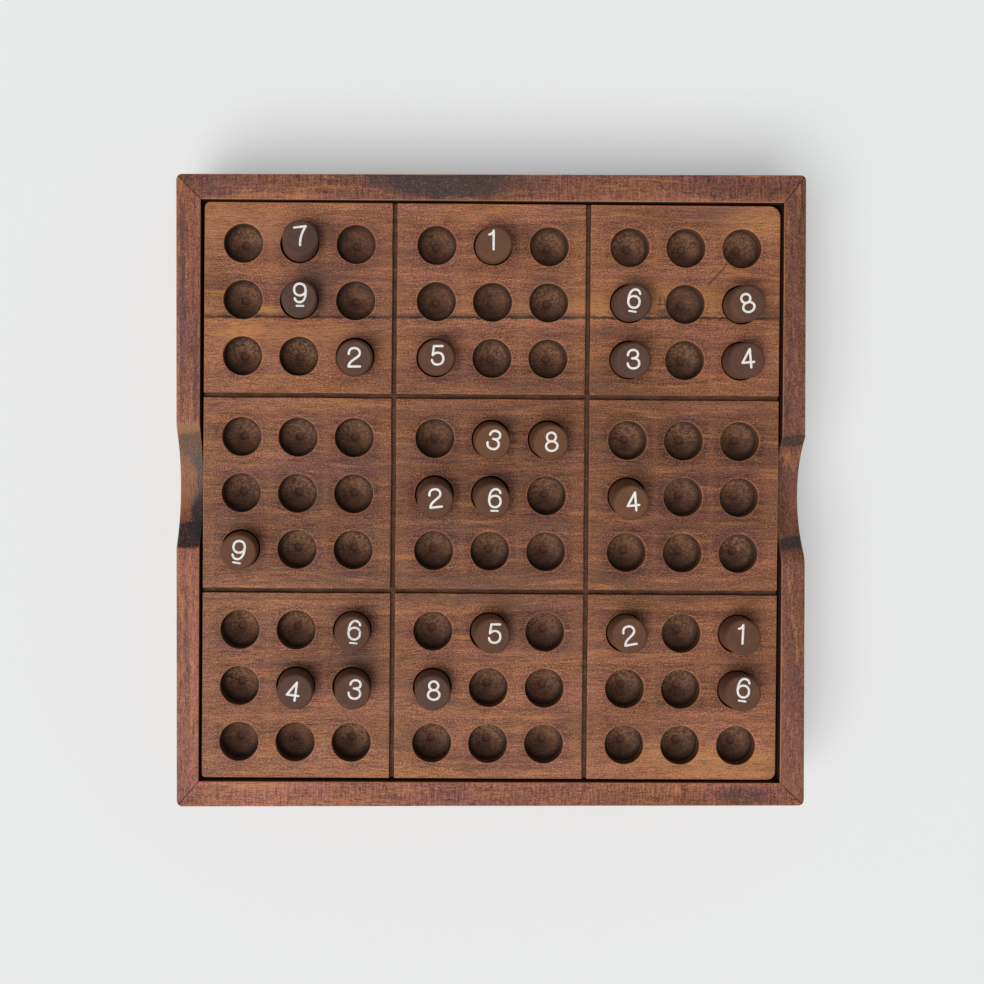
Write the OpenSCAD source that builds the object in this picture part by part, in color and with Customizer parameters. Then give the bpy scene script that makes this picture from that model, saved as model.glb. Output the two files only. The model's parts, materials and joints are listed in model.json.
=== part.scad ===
// Wooden peg Sudoku board: a mitred tray, a drilled playing board that lifts out of it,
// 23 number pegs set out as a puzzle, and the 58 spare pegs stored under the board.
// +Z is up, +Y is the far side of the puzzle, and the origin is under the middle of the tray.

/* [Tray] */
// Outside width of the tray, from left to right
tray_w = 210; // [208:1:214]
// Outside length of the tray, from front to back
tray_l = 211; // [209:1:214]
// Height of the tray
tray_h = 35; // [34:1:40]
// Outside corner radius of the tray
tray_corner_r = 2; // [1:0.5:4]
// Width of the opening, from left to right
opening_w = 194.6; // [194.4:0.1:196]
// Length of the opening, from front to back
opening_l = 194.2; // [194:0.1:195]
// How far the opening sits towards the front of the tray
opening_forward = 0.4; // [0:0.1:0.5]
// Turn of the opening against the outside of the tray
opening_turn = -0.25; // [-0.35:0.05:-0.15]
// Length of a finger notch along the top of a side wall
notch_len = 40; // [30:1:50]
// Depth of a finger notch at its middle
notch_depth = 8; // [6:0.5:10]
// Place along Y of the left and right notches
notch_y = [1, -2];

/* [Tray bottom] */
// Thickness of the bottom panel
panel_t = 4; // [3:0.5:5]
// Height of the panel's underside
panel_z = 2; // [1:0.5:3]
// Depth of the groove that holds the panel
panel_groove = 3; // [2:0.5:4]
// Width of the ledge strips that carry the board
ledge_w = 5; // [4:0.5:8]

/* [Playing board] */
// Side of the square board
board_w = 192.7; // [192:0.1:192.9]
// Thickness of the board
board_t = 12; // [11:0.5:13]
// How far the board lies below the top of the tray
board_drop = 1.5; // [1:0.5:2.5]
// Corner radius of the board
board_corner_r = 3; // [2:0.5:4]
// Turn of the board, which lies loosely in the tray
board_turn = -0.35; // [-0.4:0.05:-0.2]
// Distance between neighbouring holes in a block
pitch = 18.8; // [18.5:0.1:19]
// Distance between the last hole of a block and the first of the next
block_step = 27; // [26.5:0.1:27.5]
// Shift of all the holes from the middle of the board
holes_shift = [-0.2, -1.1];
// Turn of the rows of holes against the board
holes_turn = -0.2; // [-0.3:0.05:0]
// Radius of a peg hole
hole_r = 6.5; // [6.4:0.1:6.6]
// Depth of the straight wall of a hole
hole_wall = 5; // [4.5:0.5:6]
// Depth of the cone that the drill's point leaves
hole_cone = 2; // [1.5:0.5:3]
// Radius of the flat-bottomed dimple in the middle of the cone
dimple_r = 1.4; // [1:0.2:2]
// Depth of the dimple
dimple_depth = 0.6; // [0.4:0.1:1]
// Distance between the two saw grooves across and the two along the board
groove_step = [64.7, 65.3];
// Shift of the grooves from the middle of the board
groove_shift = [-0.4, -0.8];
// Width of a saw groove
groove_w = 1.6; // [1.2:0.1:2]
// Depth of a saw groove
groove_depth = 1.4; // [1:0.1:2]

/* [Pegs] */
// Radius of a peg
peg_r = 6; // [5.9:0.05:6.05]
// Length of a peg
peg_len = 13.4; // [13:0.1:13.6]
// Chamfer round both ends of a peg
peg_chamfer = 0.6; // [0.4:0.1:0.8]
// Gap between stored pegs that lie side by side
stored_gap = 0.4; // [0.3:0.1:0.6]

/* [Hidden] */
$fn = 96;
over = 1; // how far a cutter runs past the face it cuts
rest_gap = 0.1; // gap under a loose piece where it rests

// The pegs in play: row from the back, column from the left, number, and lean in degrees
// towards +X and +Y, because the holes are wider than the pegs
PLAYED = [
    [1, 2, 7, 5, 5], [1, 5, 1, -1, -3],
    [2, 2, 9, 4, -1], [2, 7, 6, 0, -1], [2, 9, 8, 0, 0],
    [3, 3, 2, 1, -4], [3, 4, 5, 1, -1], [3, 7, 3, 0, -2], [3, 9, 4, 0, 0],
    [4, 5, 3, 0, -4], [4, 6, 8, 2, -4],
    [5, 4, 2, 1, -8], [5, 5, 6, 1, -7], [5, 7, 4, 0, -8],
    [6, 1, 9, 2, 0],
    [7, 3, 6, 2, 3], [7, 5, 5, 4, 1], [7, 7, 2, 0, 4], [7, 9, 1, -1, 2],
    [8, 2, 4, 3, 0], [8, 3, 3, 4, 1], [8, 4, 8, 0, 0], [8, 9, 6, 0, 4],
];
full_set = 9; // pegs of each number in the whole set

function peg_name(p) = str("peg_", p[2], "_r", p[0], "c", p[1]);
function stored_name(n) = str("stored_pegs_", n);
function stored_count(n) = full_set - len([for (p = PLAYED) if (p[2] == n) p]);

WALLS = ["back_wall", "left_wall", "front_wall", "right_wall"];
LEDGES = ["back_ledge", "left_ledge", "front_ledge", "right_ledge"];

// Heights
panel_top = panel_z + panel_t;
board_top = tray_h - board_drop;
board_z = board_top - board_t;
ledge_h = board_z - rest_gap - panel_top;

// A leaning peg turns about a point a little way down the axis of its hole, and stops
// just short of where the edge of its end face would come down on the cone
pivot_depth = 2.2;
end_r = peg_r - peg_chamfer;
cone_slope = hole_cone / (hole_r - dimple_r);
function total_lean(p) = acos(cos(p[3]) * cos(p[4]));
function below_pivot(lean) =
    (hole_wall + (hole_r - end_r * cos(lean)) * cone_slope - end_r * sin(lean)
        - rest_gap - pivot_depth)
    / (cos(lean) - cone_slope * sin(lean));

// Corners counted from the back right one, anticlockwise from above
TURNS = [[1, 1], [-1, 1], [-1, -1], [1, -1]];
function turned(v, a) = [v[0] * cos(a) - v[1] * sin(a), v[0] * sin(a) + v[1] * cos(a)];
function outer_corner(k) = [TURNS[k % 4][0] * tray_w, TURNS[k % 4][1] * tray_l] / 2;
function opening_corner(k) =
    turned([TURNS[k % 4][0] * opening_w, TURNS[k % 4][1] * opening_l] / 2, opening_turn)
    - [0, opening_forward];

// Place across or along the board of hole 1 to 9, from its middle
function hole_at(i) = (i - 5) * pitch + (ceil(i / 3) - 2) * (block_step - pitch);
function hole_xy(row, column) =
    turned([hole_at(column), -hole_at(row)], holes_turn) + holes_shift;

module rounded_rectangle(w, l, r) {
    square([w, l - 2 * r], center = true);
    square([w - 2 * r, l], center = true);
    for (x = [-1, 1], y = [-1, 1])
        translate([x * (w / 2 - r), y * (l / 2 - r)])
            circle(r);
}

module in_opening() {
    translate([0, -opening_forward])
        rotate(opening_turn)
            children();
}

module on_board() {
    translate([0, -opening_forward])
        rotate(board_turn)
            children();
}

// One wall, cut on the mitres from the tray's corners to those of the opening
module wall(k) {
    color("#8a5a40")
    difference() {
        linear_extrude(tray_h)
            intersection() {
                rounded_rectangle(tray_w, tray_l, tray_corner_r);
                polygon([outer_corner(k), outer_corner(k + 1),
                         opening_corner(k + 1), opening_corner(k)]);
            }
        in_opening()
            translate([0, 0, panel_top - panel_t / 2])
                cube([opening_w + 2 * panel_groove, opening_l + 2 * panel_groove, panel_t],
                     center = true);
        if (k % 2 == 1)
            finger_notch(k == 1 ? -1 : 1);
    }
}

// An arc cut down from the top of a side wall, on side -1 for left or 1 for right
module finger_notch(side) {
    notch_r = (pow(notch_len / 2, 2) + pow(notch_depth, 2)) / (2 * notch_depth);
    translate([side * (tray_w + opening_w) / 4, notch_y[side < 0 ? 0 : 1],
               tray_h - notch_depth + notch_r])
        rotate([0, 90, 0])
            cylinder(r = notch_r, h = tray_w - opening_w, center = true);
}

module bottom_panel() {
    color("#9a7350")
    in_opening()
        translate([0, 0, panel_top - panel_t / 2])
            cube([opening_w + 2 * panel_groove, opening_l + 2 * panel_groove, panel_t],
                 center = true);
}

// One ledge strip; the back and front ones run the whole width, the others fit between
module ledge(k) {
    long = k % 2 == 0 ? opening_w : opening_l - 2 * ledge_w;
    out = (k % 2 == 0 ? opening_l : opening_w) / 2;
    color("#a57c58")
    in_opening()
        rotate(90 * k)
            translate([-long / 2, out - ledge_w, panel_top])
                cube([long, ledge_w, ledge_h]);
}

// The cutter for one peg hole, from the board's top face down
module peg_hole() {
    rotate_extrude()
        polygon([[0, over], [hole_r, over], [hole_r, -hole_wall],
                 [dimple_r, -hole_wall - hole_cone],
                 [dimple_r, -hole_wall - hole_cone - dimple_depth],
                 [0, -hole_wall - hole_cone - dimple_depth]]);
}

module playing_board() {
    color("#8f5f45")
    on_board()
    difference() {
        translate([0, 0, board_z])
            linear_extrude(board_t)
                rounded_rectangle(board_w, board_w, board_corner_r);
        for (row = [1:9], column = [1:9])
            translate(concat(hole_xy(row, column), board_top))
                peg_hole();
        for (side = [-1, 1]) {
            translate([groove_shift[0] + side * groove_step[0] / 2, 0, board_top])
                cube([groove_w, board_w + 2 * over, 2 * groove_depth], center = true);
            translate([0, groove_shift[1] + side * groove_step[1] / 2, board_top])
                cube([board_w + 2 * over, groove_w, 2 * groove_depth], center = true);
        }
    }
}

// A short dowel with chamfered ends, standing on z = 0
module peg_shape() {
    rotate_extrude()
        polygon([[0, 0], [peg_r - peg_chamfer, 0], [peg_r, peg_chamfer],
                 [peg_r, peg_len - peg_chamfer], [peg_r - peg_chamfer, peg_len],
                 [0, peg_len]]);
}

// A peg in its hole, with its lean
module played_peg(p) {
    color("#5f493e")
    on_board()
        translate(concat(hole_xy(p[0], p[1]), board_top - pivot_depth))
            rotate([-p[4], p[3], 0])
                translate([0, 0, -below_pivot(total_lean(p))])
                    peg_shape();
}

// The spare pegs of one number, lying side by side in their own row under the board
module stored_pegs(n) {
    step = 2 * peg_r + stored_gap;
    color("#665044")
    in_opening()
        for (i = [1:stored_count(n)])
            translate([-opening_w / 2 + ledge_w + (i - 0.5) * step + stored_gap / 2,
                       (5 - n) * pitch - peg_len / 2, panel_top + peg_r])
                rotate([-90, 0, 0])
                    peg_shape();
}

wall(0);  // back_wall
wall(1);  // left_wall
wall(2);  // front_wall
wall(3);  // right_wall
bottom_panel();
ledge(0);  // back_ledge
ledge(1);  // left_ledge
ledge(2);  // front_ledge
ledge(3);  // right_ledge
playing_board();
for (p = PLAYED)
    played_peg(p);
for (n = [1:9])
    stored_pegs(n);
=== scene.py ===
"""Looks of a wooden peg Sudoku board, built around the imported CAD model.

Lengths here are in millimetres and are turned into metres where a mesh or light is made.
+Z is up, +X is to the right of the puzzle and +Y is its far side.
"""
import json
import math

import bpy
import numpy as np
from mathutils import Matrix, Vector


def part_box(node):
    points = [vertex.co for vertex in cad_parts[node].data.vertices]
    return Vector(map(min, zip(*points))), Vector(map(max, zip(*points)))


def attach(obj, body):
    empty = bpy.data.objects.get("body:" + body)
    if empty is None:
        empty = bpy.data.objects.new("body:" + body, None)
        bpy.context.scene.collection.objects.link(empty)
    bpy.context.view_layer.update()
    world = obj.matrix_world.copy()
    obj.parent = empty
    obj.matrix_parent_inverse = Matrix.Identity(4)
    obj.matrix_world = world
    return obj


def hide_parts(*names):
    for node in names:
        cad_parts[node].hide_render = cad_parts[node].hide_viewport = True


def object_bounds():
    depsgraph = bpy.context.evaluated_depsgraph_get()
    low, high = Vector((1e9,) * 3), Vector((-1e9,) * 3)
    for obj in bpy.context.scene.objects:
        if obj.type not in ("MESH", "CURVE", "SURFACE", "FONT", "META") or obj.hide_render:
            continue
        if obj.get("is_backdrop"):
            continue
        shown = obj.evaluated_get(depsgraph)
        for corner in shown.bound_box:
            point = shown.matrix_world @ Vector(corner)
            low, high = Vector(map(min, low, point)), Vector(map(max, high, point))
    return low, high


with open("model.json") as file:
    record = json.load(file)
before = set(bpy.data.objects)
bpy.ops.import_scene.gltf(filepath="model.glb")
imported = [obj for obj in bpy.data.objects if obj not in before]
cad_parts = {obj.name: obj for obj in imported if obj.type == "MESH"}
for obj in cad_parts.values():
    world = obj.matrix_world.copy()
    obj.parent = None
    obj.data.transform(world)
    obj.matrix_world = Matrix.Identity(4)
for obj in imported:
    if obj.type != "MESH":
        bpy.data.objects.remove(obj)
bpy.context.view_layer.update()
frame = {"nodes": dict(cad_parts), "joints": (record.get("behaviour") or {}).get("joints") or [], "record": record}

MM = 0.001
record = frame["record"]
mounts = {m["name"]: m for m in record["mounts"]}
joints = {j["name"]: j for j in frame["joints"]}
rng = np.random.default_rng(81)


def node_box(node):
    """Lowest and highest corners of a CAD node, in mm."""
    low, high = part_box(node)
    return np.array(low) / MM, np.array(high) / MM


# ---------------------------------------------------------------- meshes

def add_mesh(name, verts, faces, material, sharp_angle=35.0, floats=None, vectors=None):
    """A smooth-shaded object from vertices in mm, with the point attributes given."""
    mesh = bpy.data.meshes.new(name)
    mesh.from_pydata((np.asarray(verts, float) * MM).tolist(), [], faces)
    mesh.polygons.foreach_set("use_smooth", [True] * len(mesh.polygons))
    mesh.set_sharp_from_angle(angle=math.radians(sharp_angle))
    for key, values in (floats or {}).items():
        layer = mesh.attributes.new(key, "FLOAT", "POINT")
        layer.data.foreach_set("value", np.asarray(values, np.float32))
    for key, values in (vectors or {}).items():
        layer = mesh.attributes.new(key, "FLOAT_VECTOR", "POINT")
        layer.data.foreach_set("vector", np.asarray(values, np.float32).ravel())
    mesh.materials.append(material)
    mesh.update()
    obj = bpy.data.objects.new(name, mesh)
    bpy.context.scene.collection.objects.link(obj)
    return obj


def ring_faces(rings, count):
    """Quads between successive rings of count points each, given by their first indices."""
    faces = []
    for a, b in zip(rings[:-1], rings[1:]):
        for i in range(count):
            j = (i + 1) % count
            faces.append((a + i, a + j, b + j, b + i))
    return faces


def end_faces(rings, count):
    """The faces that close the first and the last ring."""
    return [tuple(range(count)), tuple(rings[-1] + i for i in range(count))[::-1]]


def merged(parts):
    """The vertices and faces of several (vertices, faces) as one mesh."""
    verts, faces, count = [], [], 0
    for got, quads in parts:
        verts.append(got)
        faces += [tuple(v + count for v in face) for face in quads]
        count += len(got)
    return np.vstack(verts), faces


def wave(t, seed, waves=5, base=1.0):
    """A smooth irregular function of t, about -1 to 1, with the longest wave 1 / base."""
    r = np.random.default_rng(seed)
    total = np.zeros_like(np.asarray(t, float))
    for k in range(waves):
        turn = 2 * math.pi * base * (1.6 ** k) * np.asarray(t, float)
        total += np.sin(turn * r.uniform(0.8, 1.2) + r.uniform(0, 2 * math.pi)) / (1.3 ** k)
    return total / 2.2


# ---------------------------------------------------------------- material nodes

class Nodes:
    """Short calls for building one material's node tree."""

    def __init__(self, name):
        self.material = bpy.data.materials.new(name)
        self.material.use_nodes = True
        self.tree = self.material.node_tree
        self.tree.nodes.clear()

    def add(self, kind, inputs, **settings):
        node = self.tree.nodes.new("ShaderNode" + kind)
        for key, value in settings.items():
            setattr(node, key, value)
        for key, value in inputs.items():
            if isinstance(value, bpy.types.NodeSocket):
                self.tree.links.new(value, node.inputs[key])
            else:
                node.inputs[key].default_value = value
        return node

    def math(self, operation, a, b=0.0, clamp=False):
        node = self.add("Math", {0: a, 1: b}, operation=operation, use_clamp=clamp)
        return node.outputs[0]

    def plus(self, a, b, clamp=False):
        return self.math("ADD", a, b, clamp)

    def minus(self, a, b):
        return self.math("SUBTRACT", a, b)

    def times(self, a, b, clamp=False):
        return self.math("MULTIPLY", a, b, clamp)

    def vector(self, operation, a, b):
        return self.add("VectorMath", {0: a, 1: b}, operation=operation).outputs[0]

    def attribute(self, name, output="Fac"):
        return self.add("Attribute", {}, attribute_name=name).outputs[output]

    def noise(self, place, stretch, detail=2.0, roughness=0.5, distortion=0.0, output=0):
        """Noise whose features are about 1 / stretch mm long along each axis."""
        at = self.vector("MULTIPLY", place, stretch)
        wanted = {"Vector": at, "Scale": 1.0, "Detail": detail, "Roughness": roughness,
                  "Distortion": distortion}
        return self.add("TexNoise", wanted).outputs[output]

    def remap(self, value, low, high, to_low=0.0, to_high=1.0, smooth=False):
        wanted = {0: value, 1: low, 2: high, 3: to_low, 4: to_high}
        kind = "SMOOTHSTEP" if smooth else "LINEAR"
        return self.add("MapRange", wanted, clamp=True, interpolation_type=kind).outputs[0]

    def total(self, start, parts):
        """start plus each value times its weight."""
        result = start
        for value, weight in parts:
            wanted = {0: value, 1: weight, 2: result}
            result = self.add("Math", wanted, operation="MULTIPLY_ADD").outputs[0]
        return result

    def ramp(self, value, stops):
        node = self.add("ValToRGB", {0: value})
        elements = node.color_ramp.elements
        while len(elements) < len(stops):
            elements.new(0.5)
        for element, (at, colour) in zip(elements, stops):
            element.position = at
            element.color = (*colour, 1.0)
        return node.outputs[0]

    def mix(self, factor, a, b, blend="MIX"):
        node = self.tree.nodes.new("ShaderNodeMix")
        node.data_type = "RGBA"
        node.blend_type = blend
        for index, value in ((0, factor), (6, a), (7, b)):
            if isinstance(value, bpy.types.NodeSocket):
                self.tree.links.new(value, node.inputs[index])
            elif index == 0:
                node.inputs[index].default_value = value
            else:
                node.inputs[index].default_value = (*value, 1.0)
        return node.outputs[2]

    def over(self, colour, mask, strength, new):
        """colour with the new one laid over it where the mask is, as strongly as given."""
        return self.mix(self.times(mask, strength), colour, new)

    def finish(self, colour, roughness, height, depth_mm, specular):
        bump = self.add("Bump", {"Height": height, "Distance": depth_mm * MM, "Strength": 1.0})
        shader = self.add("BsdfPrincipled", {
            "Base Color": colour, "Roughness": roughness, "Specular IOR Level": specular,
            "Normal": bump.outputs[0]})
        self.add("OutputMaterial", {"Surface": shader.outputs[0]})
        return self.material


# Linear RGB of the marks on every wood, with painted highlight and painted shade among them, then of those in the
# bored holes and saw kerfs
GOLD_GLEAM = (0.53, 0.210, 0.066)
SMUDGE = (0.068, 0.034, 0.027)
PORE = (0.050, 0.026, 0.020)
WORN_EDGE_AND_HIGHLIGHT = (0.54, 0.24, 0.095)
JOINT_LINE = (0.035, 0.018, 0.014)
GAP_SHADE = (0.012, 0.008, 0.007)
TORN_FLAKE = (0.35, 0.182, 0.094)
TORN_PIT = (0.020, 0.011, 0.008)
DIMPLE_RED = (0.072, 0.028, 0.019)
PAINTED_WALL_LIGHT = (0.190, 0.078, 0.038)
CORNER_SHADE = (0.018, 0.010, 0.008)


def blob(n, place, spot, rough=0.35):
    """A mask that is 1 inside an ellipse with an uneven edge.

    spot is its middle x and y, its half-lengths, its turn in degrees, and its softness.
    """
    x, y, half_x, half_y, turn, soft = spot
    at = n.add("Mapping", {"Vector": place, "Location": (x, y, 0.0),
                           "Rotation": (0.0, 0.0, math.radians(turn)),
                           "Scale": (half_x, half_y, 1e6)}, vector_type="TEXTURE").outputs[0]
    distance = n.add("VectorMath", {0: at}, operation="LENGTH").outputs["Value"]
    ragged = n.noise(place, (0.16, 0.22, 0.22), detail=4.0, roughness=0.6)
    distance = n.plus(distance, n.times(n.minus(ragged, 0.5), rough * 2))
    return n.remap(distance, 1.0 + soft / 2, 1.0 - soft / 2, smooth=True)


def wood(name, palette, grain_turn=0.0, shift=(0.0, 0.0, 0.0), bands=(), lifts=(), stains=(),
         lines=(), ticks=0.0, lengthwise=1.0, roughness=(0.42, 0.6), cut_palette=None):
    """Oiled hardwood with its grain along local X, turned by grain_turn degrees about Z.

    bands are (distance across the grain, how much lighter or darker the stave is there);
    lifts are (spot, how much lighter or darker); stains are (spot, strength, colour);
    lines are thin dark marks along X, see line_mask. ticks and lengthwise weigh the short marks
    across the grain and the streaks along it. cut_palette colours the bored and sawn surfaces
    that the "cut" attribute marks.
    """
    n = Nodes(name)
    raw = n.add("TexCoord", {}).outputs["Object"]
    place = n.vector("MULTIPLY", raw, (1 / MM, 1 / MM, 1 / MM))
    along = n.add("Mapping", {"Vector": place, "Rotation": (0.0, 0.0, math.radians(-grain_turn)),
                              "Location": shift}).outputs[0]
    bend = n.noise(along, (0.012, 0.030, 0.030), detail=2.0, output=1)
    bend = n.vector("MULTIPLY", n.vector("SUBTRACT", bend, (0.5, 0.5, 0.5)), (0.0, 8.0, 8.0))
    bent = n.vector("ADD", along, bend)

    tone = n.noise(bent, (0.014, 0.055, 0.055), detail=2.0)
    streak = n.noise(bent, (0.020, 0.30, 0.30), detail=4.0, roughness=0.62)
    fibre = n.noise(bent, (0.075, 2.0, 2.0), detail=2.0, roughness=0.6)
    hair = n.noise(bent, (1.3, 3.3, 3.3), detail=2.0, roughness=0.6)
    fleck = n.noise(along, (1.9, 2.3, 2.3), detail=2.0, roughness=0.65)
    parts = [(tone, 0.75), (streak, 0.85 * lengthwise), (fibre, 0.62 * lengthwise),
             (hair, 1.10 * lengthwise), (fleck, 2.20)]
    height_up = n.add("SeparateXYZ", {0: place}).outputs[2]
    if ticks:
        # they belong to the top of a wall and fade on its faces
        tick = n.noise(along, (1.7, 0.14, 0.14), detail=2.0, roughness=0.6)
        tick = n.times(n.minus(tick, 0.5), n.remap(height_up, 32.5, 34.5))
        parts.append((n.plus(tick, 0.5), ticks))
    if bands:
        parts.append((band_lift(n, place, bands), BAND_RANGE))
    for spot, amount in lifts:
        parts.append((blob(n, place, spot), amount))
    even = sum(weight for _, weight in parts[:6 if ticks else 5]) / 2
    start = 0.5 - even - (BAND_RANGE / 2 if bands else 0.0)
    colour = n.ramp(n.total(start, parts), palette)
    hue = n.noise(bent, (0.028, 0.14, 0.14), detail=3.0, roughness=0.6)
    hue = n.remap(hue, 0.36, 0.64)
    colour = n.mix(1.0, colour, n.mix(hue, (0.92, 0.86, 1.22), (1.06, 1.03, 0.90)), "MULTIPLY")
    gold = n.noise(bent, (0.045, 0.42, 0.42), detail=3.0, roughness=0.6)
    gold = n.total(-0.175, [(gold, 1.0), (fleck, 0.35)])
    colour = n.mix(n.remap(gold, 0.55, 0.72, 0.0, 0.55), colour, GOLD_GLEAM)
    smudge = n.noise(bent, (0.055, 0.26, 0.26), detail=3.0, roughness=0.6)
    smudge = n.total(-0.175, [(smudge, 1.0), (hair, 0.35)])
    colour = n.mix(n.remap(smudge, 0.55, 0.74, 0.0, 0.55), colour, SMUDGE)

    near_top = n.remap(height_up, 6.0, 26.0)
    for spot, strength, dark in stains:
        mask = n.times(blob(n, place, spot, rough=0.28), strength)
        mask = n.times(mask, near_top)
        mask = n.times(mask, n.remap(fleck, 0.68, 0.54, 0.35, 1.0))
        colour = n.mix(mask, colour, dark)

    pore = n.noise(bent, (0.22, 4.2, 4.2), detail=2.0)
    pore = n.remap(pore, 0.56, 0.68)
    colour = n.over(colour, pore, 0.50, PORE)
    height = n.total(0.0, [(fibre, 0.7), (hair, 0.7), (fleck, 0.7), (pore, -0.9)])
    for line in lines:
        mask = line_mask(n, place, *line[:6])
        colour = n.over(colour, mask, line[6], line[7])
        height = n.minus(height, n.times(mask, 1.6 * line[6]))

    edge = n.attribute("edge")
    # rounded edges drawn lighter: wear, with a painted highlight
    colour = n.over(colour, edge, 0.62, WORN_EDGE_AND_HIGHLIGHT)
    colour = n.over(colour, n.attribute("joint"), 0.75, JOINT_LINE)
    rough = n.remap(n.total(0.0, [(streak, 1.0), (hair, 0.4)]), 0.5, 0.9, *roughness)
    if cut_palette:
        colour, rough, height = cut_surface(n, place, cut_palette, colour, rough, height)
    # painted shade: the board's sides, the walls' inner faces down the gap and the near side of each hole's wall
    # are darkened
    colour = n.over(colour, n.attribute("deep"), 0.88, GAP_SHADE)
    return n.finish(colour, rough, height, depth_mm=0.07, specular=0.26)


BAND_RANGE = 0.6  # how far the bands can move a colour along its palette, from end to end
BAND_REACH = 110.0


def band_lift(n, place, bands):
    """0.5 plus the lightness of each stave across the board, with a wavering border."""
    y = n.add("SeparateXYZ", {0: place}).outputs[1]
    waver = n.noise(place, (0.022, 0.05, 0.05), detail=3.0)
    at = n.total(0.5, [(y, 0.5 / BAND_REACH), (waver, 0.06)])
    at = n.minus(at, 0.03)
    stops = [(0.5 + 0.5 * across / BAND_REACH, (0.5 + lift / BAND_RANGE,) * 3)
             for across, lift in bands]
    return n.ramp(at, stops)


def line_mask(n, place, x_from, y_from, length, turn, width, wobble):
    """A thin uneven line from a point, turned from X; it is 1 on the line and fades at its ends."""
    at = n.add("Mapping", {"Vector": place, "Location": (x_from, y_from, 0.0),
                           "Rotation": (0.0, 0.0, math.radians(turn))}, vector_type="TEXTURE")
    parts = n.add("SeparateXYZ", {0: at.outputs[0]})
    x, y = parts.outputs[0], parts.outputs[1]
    drift = n.noise(place, (0.16, 0.16, 0.0), detail=5.0, roughness=0.75)
    off = n.math("ABSOLUTE", n.total(-0.5 * wobble, [(drift, wobble), (y, 1.0)]))
    size = n.remap(n.noise(place, (0.35, 0.35, 0.0), detail=4.0, roughness=0.8), 0.3, 0.75,
                   0.3 * width, 2.0 * width)
    core = n.remap(n.math("DIVIDE", off, size), 1.0, 0.5, smooth=True)
    fade = min(2.0, length / 3)
    ends = n.times(n.remap(x, 0.0, fade), n.remap(x, length, length - fade))
    return n.times(core, ends)


def cut_surface(n, place, palette, colour, rough, height):
    """Bored and sawn wood: end grain in the holes, torn out on one side, and saw kerfs."""
    cut = n.attribute("cut")
    bored = n.attribute("bored")
    tear = n.attribute("tear")
    polar = n.attribute("polar", "Vector")
    path = n.add("SeparateXYZ", {0: polar}).outputs[2]  # mm out over the floor and up the wall
    soft = n.noise(place, (0.20, 0.34, 0.34), detail=2.0)
    grain = n.noise(place, (0.30, 2.1, 2.1), detail=3.0, roughness=0.6)
    chatter = n.noise(polar, (0.5, 0.5, 2.6), detail=2.0)
    radial = n.noise(polar, (3.6, 3.6, 0.80), detail=3.0, roughness=0.65, distortion=0.5)
    flake = n.noise(place, (1.3, 1.9, 1.9), detail=3.0, roughness=0.7)
    mixed = n.total(-0.25, [(soft, 0.5), (grain, 0.5), (chatter, 0.28), (radial, 0.22)])
    inner = n.ramp(n.remap(mixed, 0.30, 0.70), palette)
    torn = n.times(n.remap(n.times(flake, radial), 0.22, 0.31), tear)
    inner = n.mix(n.times(torn, 0.85, clamp=True), inner, TORN_FLAKE)
    dark = n.times(n.remap(radial, 0.56, 0.68), tear)
    inner = n.mix(n.times(dark, 0.85, clamp=True), inner, TORN_PIT)
    ragged = n.total(-0.6, [(path, 1.0), (radial, 1.2)])
    dimple = n.times(n.remap(ragged, 2.2, 1.3, smooth=True), bored)
    inner = n.over(inner, dimple, 0.48, DIMPLE_RED)
    # painted light: the bored wall is drawn lighter, fading out towards its foot
    wall = n.times(n.remap(path, 6.7, 8.2, smooth=True), bored)
    inner = n.over(inner, wall, 0.55, PAINTED_WALL_LIGHT)
    corner = n.times(n.remap(path, 4.6, 6.3, smooth=True), n.remap(path, 8.0, 6.7))
    inner = n.over(inner, corner, 0.66, CORNER_SHADE)
    colour = n.mix(cut, colour, inner)
    rough = n.plus(rough, n.times(cut, 0.15), clamp=True)
    ridge = n.times(n.plus(radial, flake), n.times(tear, 3.0))
    grit = n.times(grain, n.times(bored, 0.8))
    height = n.plus(height, n.plus(ridge, grit))
    return colour, rough, height


# Colours are linear RGB, from dark heartwood to lit sapwood
BOARD_PALETTE = ((0, (0.047, 0.018, 0.011)), (0.15, (0.096, 0.033, 0.017)),
                 (0.30, (0.151, 0.053, 0.027)), (0.45, (0.200, 0.073, 0.035)),
                 (0.60, (0.260, 0.097, 0.046)), (0.75, (0.343, 0.133, 0.062)),
                 (0.90, (0.447, 0.180, 0.084)), (1, (0.551, 0.239, 0.117)))
CUT_PALETTE = ((0, (0.042, 0.017, 0.009)), (0.45, (0.089, 0.034, 0.017)),
               (0.75, (0.128, 0.051, 0.025)), (1, (0.190, 0.079, 0.038)))
SIDE_PALETTE = ((0, (0.104, 0.037, 0.023)), (0.20, (0.187, 0.064, 0.037)),
                (0.40, (0.272, 0.097, 0.053)), (0.60, (0.338, 0.122, 0.066)),
                (0.80, (0.416, 0.155, 0.081)), (1, (0.541, 0.207, 0.101)))
GREY_PALETTE = ((0, (0.062, 0.026, 0.016)), (0.20, (0.112, 0.042, 0.025)),
                (0.40, (0.161, 0.062, 0.036)), (0.60, (0.213, 0.082, 0.046)),
                (0.80, (0.270, 0.105, 0.058)), (1, (0.354, 0.145, 0.082)))
PANEL_PALETTE = ((0, (0.26, 0.16, 0.09)), (0.5, (0.40, 0.26, 0.155)), (1, (0.56, 0.39, 0.25)))
LEDGE_PALETTE = ((0, (0.20, 0.10, 0.06)), (0.5, (0.35, 0.19, 0.11)), (1, (0.50, 0.30, 0.18)))
CHARCOAL = (0.046, 0.034, 0.034)
OLIVE = (0.125, 0.092, 0.062)

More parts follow.
